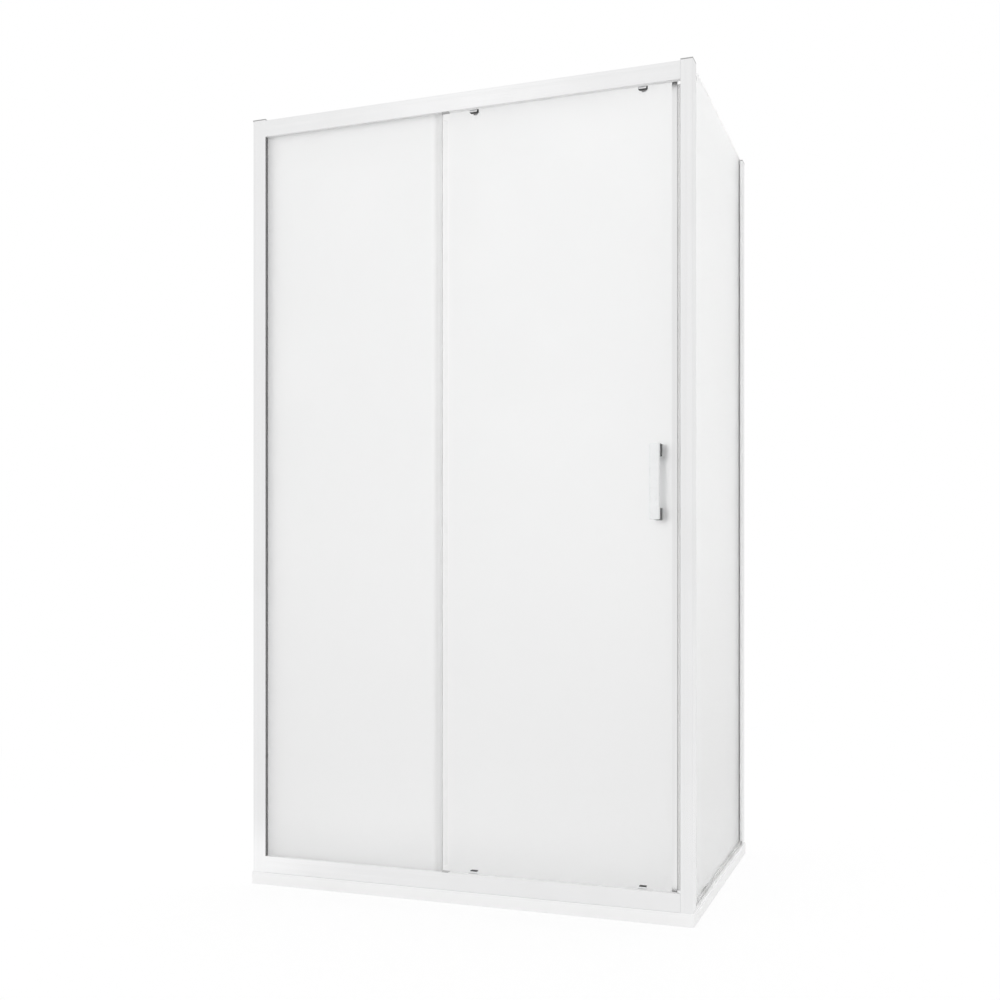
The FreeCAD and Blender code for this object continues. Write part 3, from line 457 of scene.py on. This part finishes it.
def tray_acrylic(name):
    """White moulded acrylic, smooth on the rim and stippled in the basin."""
    material, net, shader, position = new_material(name, Coat_Weight=0.25, Coat_Roughness=0.12)
    clouds = placed_effect(net, "clouds", position, Cloud_Size=0.25, Cover=0.3)
    grain = placed_effect(net, "grain", position, Grain_Size=0.004)
    height = net.add("ShaderNodeSeparateXYZ", {"Vector": position}).outputs["Z"]
    in_basin = net.spread(height, BASIN_SMOOTH, BASIN_STIPPLED)
    net.feed(shader, "Base Color",
             net.blend(clouds["Clouds"], grey(248), grey(246, ACRYLIC_TINT)))
    roughened(net, shader, 0.22, (in_basin, 0.22), (grain["Pits"], 0.04))
    stipple = net.math("MULTIPLY", grain["Height"], in_basin)
    bumped(net, shader, stipple, distance=0.0003, strength=0.5)
    return material


def moulded(name, value, roughness, tint=NEUTRAL, grain_size=0.0006, dust=6):
    """Moulded plastic or rubber with a fine grain. Dust is how many tones paler it is in places."""
    material, net, shader, position = new_material(name)
    grain = placed_effect(net, "grain", position, Grain_Size=grain_size)
    clouds = placed_effect(net, "clouds", position, Cloud_Size=0.02, Cover=0.4)
    net.feed(shader, "Base Color",
             net.blend(clouds["Clouds"], grey(value, tint), grey(value + dust, tint)))
    roughened(net, shader, roughness - 0.05, (grain["Pits"], 0.1))
    bumped(net, shader, grain["Height"], distance=0.00006, strength=0.4)
    return material


def clear_seal(name, cover):
    """Clear soft plastic, slightly milky. Cover is how much it hides of what is behind it."""
    material, net, shader, position = new_material(name, IOR=1.49)
    clouds = placed_effect(net, "clouds", position, Cloud_Size=0.05, Cover=0.3)
    grain = placed_effect(net, "grain", position, Grain_Size=0.0008)
    net.feed(shader, "Base Color", net.blend(clouds["Clouds"], grey(244), grey(240, MILKY_TINT)))
    roughened(net, shader, 0.30, (grain["Pits"], 0.06))
    net.feed(shader, "Alpha", net.math("MULTIPLY_ADD", clouds["Clouds"], 0.02, cover))
    bumped(net, shader, grain["Height"], distance=0.00004, strength=0.3)
    return material


def stainless(name):
    """Stainless steel with fine marks of turning."""
    material, net, shader, position = new_material(name, Metallic=1.0)
    density = (TURNING_ALONG, TURNING_ACROSS, TURNING_ACROSS)
    lines = placed_effect(net, "streaks", position, Density=density, Softness=0.6)
    net.feed(shader, "Base Color", net.blend(lines["Bands"], grey(205), grey(216, STEEL_TINT)))
    roughened(net, shader, 0.24, (lines["Lines"], 0.12))
    bumped(net, shader, lines["Lines"], distance=0.00003, strength=0.3)
    return material


MATERIALS = {
    "upright": bright_aluminium("bright_aluminium_upright", "Z"),
    "cross": bright_aluminium("bright_aluminium_cross", "X"),
    "satin": satin_aluminium("satin_aluminium"),
    "glass": frosted_glass("frosted_glass", 251, 1.45),
    # The side pane is the same glass, painted three tones lighter to lift the shade that falls on
    # it.
    "side_glass": frosted_glass("frosted_glass_painted_lighter_side", 254, 1.12),
    "chrome": chrome("polished_chrome"),
    "tray": tray_acrylic("white_tray_acrylic"),
    "clear_seal": clear_seal("milky_seal", 0.45),
    "thin_seal": clear_seal("clear_seal", 0.05),
    "light_gasket": moulded("light_gasket_rubber", 240, 0.60),
    "dark_gasket": moulded("dark_gasket_rubber", 120, 0.60),
    "grey_plastic": moulded("grey_cap_plastic", 165, 0.40),
    "black_plastic": moulded("black_plastic", 38, 0.38, dust=8),
    "black_rubber": moulded("black_rubber", 40, 0.65, grain_size=0.0004),
    "steel": stainless("stainless_steel"),
    "end_block": moulded("end_block_plastic", 184, 0.45),
    "nylon": moulded("white_nylon", 228, 0.35, NYLON_TINT),
    "nut_washer": moulded("nut_washer_nylon", 246, 0.40, dust=4),
}

CROSS_MEMBERS = ("header_rail", "bottom_rail")
OWN_FINISH = {
    "door_closing_profile": "satin",
    "side_glass": "side_glass",
    "fixed_glass_overlap_seal": "thin_seal",
    "door_trailing_seal": "thin_seal",
    "pane_end_blocks": "end_block",
}


def dress_frame():
    """Give every carried-over CAD node its material."""
    slot_of = {part["node"]: part["material_slot"] for part in frame["record"]["subparts"]}
    for node, piece in frame["nodes"].items():
        slot = slot_of[node]
        if slot == "aluminium":
            slot = "cross" if node in CROSS_MEMBERS else "upright"
        piece.data.materials.clear()
        piece.data.materials.append(MATERIALS[OWN_FINISH.get(node, slot)])


# ------------------------------------------------------------------ meshes of small hardware
def solids_of(node):
    """Low and high corner of each of a node's separate solids."""
    boxes = []
    for vertex in frame["nodes"][node].data.vertices:
        point = vertex.co
        for low, high in boxes:
            if all(low[i] - HARDWARE_APART <= point[i] <= high[i] + HARDWARE_APART
                   for i in range(3)):
                for i in range(3):
                    low[i] = min(low[i], point[i])
                    high[i] = max(high[i], point[i])
                break
        else:
            boxes.append((point.copy(), point.copy()))
    return boxes


def turned(outline, segments, radius_at=None):
    """Solid turned about Z from (radius, height) points that run from axis to axis."""
    shape = bmesh.new()
    rings = []
    for radius, height in outline:
        if radius == 0.0:
            rings.append([shape.verts.new((0.0, 0.0, height))])
            continue
        ring = []
        for step in range(segments):
            angle = 2 * math.pi * step / segments
            reach = radius if radius_at is None else radius_at(radius, height, angle)
            place = (reach * math.cos(angle), reach * math.sin(angle), height)
            ring.append(shape.verts.new(place))
        rings.append(ring)
    for lower, upper in zip(rings, rings[1:]):
        for step in range(segments):
            following = (step + 1) % segments
            corners = [lower[step % len(lower)], lower[following % len(lower)],
                       upper[following % len(upper)], upper[step % len(upper)]]
            kept = [corner for place, corner in enumerate(corners) if corner not in corners[:place]]
            shape.faces.new(kept)
    bmesh.ops.recalc_face_normals(shape, faces=shape.faces)
    return shape


def as_object(shape, name):
    """Make an object from a bmesh, with smooth faces and sharp creases, and free the bmesh."""
    for face in shape.faces:
        face.smooth = True
    for edge in shape.edges:
        edge.smooth = edge.calc_face_angle(0.0) < SHARP_CREASE
    mesh = bpy.data.meshes.new(name)
    shape.to_mesh(mesh)
    shape.free()
    made = bpy.data.objects.new(name, mesh)
    bpy.context.scene.collection.objects.link(made)
    return made


def cut_away(body, *tools):
    """Mesh of the body without the room that the tools take. All these objects are used up."""
    for tool in tools:
        cutter = body.modifiers.new("recess", "BOOLEAN")
        cutter.operation = "DIFFERENCE"
        cutter.solver = "EXACT"
        cutter.object = tool
    view = bpy.context.evaluated_depsgraph_get()
    mesh = bpy.data.meshes.new_from_object(body.evaluated_get(view))
    for used in (body,) + tools:
        bpy.data.objects.remove(used)
    return mesh


def recess_blade(head_radius, head_height, turn):
    """One tapered blade that cuts two arms of a cross recess, turned about Z by that angle."""
    reach = head_radius * RECESS_REACH
    half_width = head_radius * RECESS_HALF_WIDTH
    blade = bmesh.new()
    bmesh.ops.create_cube(blade, size=1.0)
    for corner in blade.verts:
        above = corner.co.z > 0
        wide = reach if above else reach * RECESS_FLOOR_REACH
        thick = half_width if above else half_width * RECESS_FLOOR_WIDTH
        level = BLADE_TOP if above else 1.0 - RECESS_DEPTH
        corner.co = (math.copysign(wide, corner.co.x), math.copysign(thick, corner.co.y),
                     head_height * level)
    bmesh.ops.rotate(blade, verts=blade.verts, cent=(0, 0, 0),
                     matrix=Matrix.Rotation(turn, 3, "Z"))
    return as_object(blade, "recess_blade")


def pan_head_screw(shaft_radius, head_radius, head_height, length):
    """Mesh of a screw along Z, its head's seat at height 0, with a cross recess in the dome."""
    outline = [(0.0, -length), (shaft_radius * POINT_RADIUS, -length),
               (shaft_radius, -length + SCREW_POINT)]
    for turn in range(int((length - 2 * THREAD_FREE_END) / THREAD_PITCH)):
        start = -length + THREAD_FREE_END + turn * THREAD_PITCH
        outline += [(shaft_radius * THREAD_CORE, start + THREAD_PITCH / 2),
                    (shaft_radius, start + THREAD_PITCH)]
    outline.append((shaft_radius, 0.0))
    outline += [(head_radius * out, head_height * up) for out, up in HEAD_SIDE]
    shoulder = head_radius * HEAD_SHOULDER
    dome = head_height * HEAD_DOME
    for step in range(1, DOME_STEPS):
        rise = step / DOME_STEPS * math.pi / 2
        outline.append((shoulder * math.cos(rise), head_height - dome + dome * math.sin(rise)))
    outline.append((0.0, head_height))
    body = as_object(turned(outline, SCREW_SEGMENTS), "screw_body")
    return cut_away(body, recess_blade(head_radius, head_height, 0.0),
                    recess_blade(head_radius, head_height, math.pi / 2))


def fluted_nut(radius, height, washer):
    """Mesh of a round nut along Z on a soft washer, with a fluted rim and two spanner holes.

    Its first material is the nut's, and its second one the washer's.
    """

    def fluted(given, level, angle):
        if washer < level < height * FLUTES_END:
            return given - radius * FLUTE_DEPTH * (0.5 - 0.5 * math.cos(NUT_FLUTES * angle))
        return given

    rim = radius * NUT_RIM
    face = height - NUT_FACE_RECESS
    outline = [(0.0, 0.0), (radius, 0.0), (radius, washer), (rim, washer),
               (rim, washer * FLUTES_START)]
    outline += [(rim * out, height * up) for out, up in NUT_SIDE]
    outline += [(rim * NUT_FACE, face), (0.0, face)]
    body = as_object(turned(outline, NUT_FLUTES * SEGMENTS_PER_FLUTE, fluted), "nut_body")
    holes = bmesh.new()
    for side in (-1, 1):
        pin = bmesh.ops.create_cone(holes, cap_ends=True, segments=SPANNER_HOLE_SEGMENTS,
                                    radius1=radius * SPANNER_HOLE_INNER,
                                    radius2=radius * SPANNER_HOLE_OUTER, depth=height)["verts"]
        place = (side * radius * SPANNER_HOLE_PLACE, 0.0, height * SPANNER_PIN_HEIGHT)
        bmesh.ops.translate(holes, verts=pin, vec=place)
    mesh = cut_away(body, as_object(holes, "spanner_holes"))
    # The washer's upper face lies at its full thickness, so the limit is a hair above that.
    washer_limit = washer * 1.01
    for polygon in mesh.polygons:
        polygon.material_index = 1 if polygon.center.z < washer_limit else 0
    return mesh


def set_along(meshes, name, *materials):
    """Join meshes, each with the place of its seat, the way it points and its turn, into one."""
    whole = bmesh.new()
    for mesh, seat, way, turn in meshes:
        aim = Vector(way).to_track_quat("Z", "Y").to_matrix().to_4x4()
        mesh.transform(Matrix.Translation(seat) @ aim @ Matrix.Rotation(turn, 4, "Z"))
        whole.from_mesh(mesh)
        bpy.data.meshes.remove(mesh)
    joined = as_object(whole, name)
    for material in materials:
        joined.data.materials.append(MATERIALS[material])
    return joined


def make_lock_screws():
    """Cross-recess screws that lock each frame profile in its wall profile, inside the cabin."""
    placed = []
    for number, (low, high) in enumerate(solids_of("profile_screws")):
        size = high - low
        # The left profile's screws lie along Y, and the rear profile's along X.
        axis = 1 if size.y > size.z * 1.05 else 0
        towards_cabin = -1.0 if low[axis] + high[axis] > 0 else 1.0
        way = [0.0, 0.0, 0.0]
        way[axis] = towards_cabin
        seat = (low + high) / 2
        face = high[axis] if towards_cabin > 0 else low[axis]
        seat[axis] = face - towards_cabin * LOCK_SCREW_HEAD
        mesh = pan_head_screw(LOCK_SCREW_SHAFT, size.z / 2, LOCK_SCREW_HEAD,
                              size[axis] - LOCK_SCREW_HEAD)
        placed.append((mesh, seat, way, FIRST_SCREW_TURN + number * NEXT_SCREW_TURN))
    screws = set_along(placed, "cross_recess_screws", "steel")
    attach(screws, "enclosure")
    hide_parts("profile_screws")


def make_roller_nuts():
    """Fluted nuts on soft washers, inside the cabin, one on each roller bolt and each stud."""
    placed = []
    for number, (low, high) in enumerate(solids_of("roller_nuts")):
        seat = (low + high) / 2
        seat.y = low.y
        mesh = fluted_nut((high.z - low.z) / 2, high.y - low.y, NUT_WASHER)
        placed.append((mesh, seat, (0.0, 1.0, 0.0), FIRST_NUT_TURN + number * NEXT_NUT_TURN))
    nuts = set_along(placed, "fluted_roller_nuts", "chrome", "nut_washer")
    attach(nuts, "door")
    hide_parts("roller_nuts")


# ------------------------------------------------------------------ stage, light and camera
def floor_paint():
    """White floor that keeps the enclosure's shadow near the tray and shines plainly beyond."""
    material = bpy.data.materials.new("white_floor")
    material.use_nodes = True
    material.node_tree.nodes.clear()
    net = Net(material.node_tree)
    end = net.add("ShaderNodeOutputMaterial")
    ray = net.add("ShaderNodeLightPath").outputs
    place = net.add("ShaderNodeTexCoord").outputs["Object"]

    from_middle = net.add("ShaderNodeVectorMath", {0: place}, operation="LENGTH")
    white_share = net.spread(from_middle.outputs["Value"], SHADOW_FADES, SHADOW_ENDS,
                             WHITE_NEAR_TRAY, 1.0)
    from_card = net.add("ShaderNodeVectorMath", {0: place, 1: FLOOR_CARD_PLACE},
                        operation="DISTANCE")
    mirrored = net.spread(from_card.outputs["Value"], FLOOR_CARD_FADES, FLOOR_CARD_FULL,
                          MIRRORED_WHITE, 1.0)
    not_mirrored = net.math("SUBTRACT", 1.0, ray["Is Glossy Ray"])
    seen_by_piece = net.math("MAXIMUM", ray["Is Glossy Ray"], ray["Is Transmission Ray"])
    seen = net.math("MAXIMUM", ray["Is Camera Ray"], seen_by_piece)

    paint = net.add("ShaderNodeBsdfDiffuse", {"Color": grey(FLOOR_TONE)})
    glow = net.add("ShaderNodeEmission",
                   {"Color": WHITE, "Strength": net.math("MAXIMUM", mirrored, not_mirrored)})
    both = net.add("ShaderNodeMixShader", {0: net.math("MULTIPLY", seen, white_share),
                                           1: paint.outputs[0], 2: glow.outputs[0]})
    net.feed(end, "Surface", both.outputs[0])
    return material


def make_stage():
    """Plain floor, large enough to reach the horizon in every view."""
    corners = [(-FLOOR_HALF, -FLOOR_HALF, 0), (FLOOR_HALF, -FLOOR_HALF, 0),
               (FLOOR_HALF, FLOOR_HALF, 0), (-FLOOR_HALF, FLOOR_HALF, 0)]
    mesh = bpy.data.meshes.new("floor")
    mesh.from_pydata(corners, [], [(0, 1, 2, 3)])
    mesh.materials.append(floor_paint())
    floor = bpy.data.objects.new("floor", mesh)
    floor.location.z = -FLOOR_BELOW
    bpy.context.scene.collection.objects.link(floor)


def make_world():
    """White surroundings. Metal and glass see them a little darker towards the right."""
    world = bpy.data.worlds.new("white_room")
    world.use_nodes = True
    world.node_tree.nodes.clear()
    net = Net(world.node_tree)
    end = net.add("ShaderNodeOutputWorld")
    ray = net.add("ShaderNodeLightPath").outputs
    place = net.add("ShaderNodeTexCoord").outputs["Generated"]

    direction = net.add("ShaderNodeSeparateXYZ", {"Vector": place}).outputs
    mirrored = net.spread(direction["X"], RIGHT_STARTS, RIGHT_FULL, MIRRORED_WHITE, MIRRORED_RIGHT)
    towards_gleam = net.add("ShaderNodeVectorMath", {0: place, 1: HEADER_GLEAM},
                            operation="DOT_PRODUCT")
    gleam = net.spread(towards_gleam.outputs["Value"], GLEAM_EDGE, GLEAM_MIDDLE,
                       0.0, GLEAM_BRIGHTNESS)

    seen = net.math("MAXIMUM", ray["Is Camera Ray"], ray["Is Transmission Ray"])
    on_gloss = net.math("MULTIPLY", ray["Is Glossy Ray"], net.math("ADD", mirrored, gleam))
    on_paint = net.math("MULTIPLY", ray["Is Diffuse Ray"], ROOM_LIGHT)
    strength = net.math("MAXIMUM", seen, net.math("MAXIMUM", on_gloss, on_paint))
    light = net.add("ShaderNodeBackground", {"Color": WHITE, "Strength": strength})
    net.feed(end, "Surface", light.outputs[0])
    bpy.context.scene.world = world


def make_lights():
    """Soft lamps above, and a small one in front whose light metal mirrors."""
    for name, place, target, side, power, mirrored in LAMPS:
        lamp = bpy.data.lights.new(name, "AREA")
        lamp.shape = "SQUARE"
        lamp.size = side
        lamp.energy = power
        holder = bpy.data.objects.new(name, lamp)
        holder.location = place
        aim = Vector(target) - Vector(place)
        holder.rotation_euler = aim.to_track_quat("-Z", "Y").to_euler()
        holder.visible_glossy = mirrored
        bpy.context.scene.collection.objects.link(holder)


def make_camera():
    """Level camera at the photograph's place, shifted to the photograph's frame."""
    camera = bpy.data.cameras.new("camera")
    camera.sensor_width = SENSOR_WIDTH
    camera.lens = FOCAL_PIXELS / PHOTO_SIZE * SENSOR_WIDTH
    camera.shift_x = (PHOTO_SIZE / 2 - CENTRE_COLUMN) / PHOTO_SIZE
    camera.shift_y = (HORIZON_ROW - PHOTO_SIZE / 2) / PHOTO_SIZE
    holder = bpy.data.objects.new("camera", camera)
    holder.location = CAMERA_PLACE
    holder.rotation_euler = (math.pi / 2, 0.0, CAMERA_TURN)
    bpy.context.scene.collection.objects.link(holder)
    bpy.context.scene.camera = holder
    bpy.context.scene.view_settings.view_transform = "Standard"


dress_frame()
make_lock_screws()
make_roller_nuts()
make_stage()
make_world()
make_lights()
make_camera()
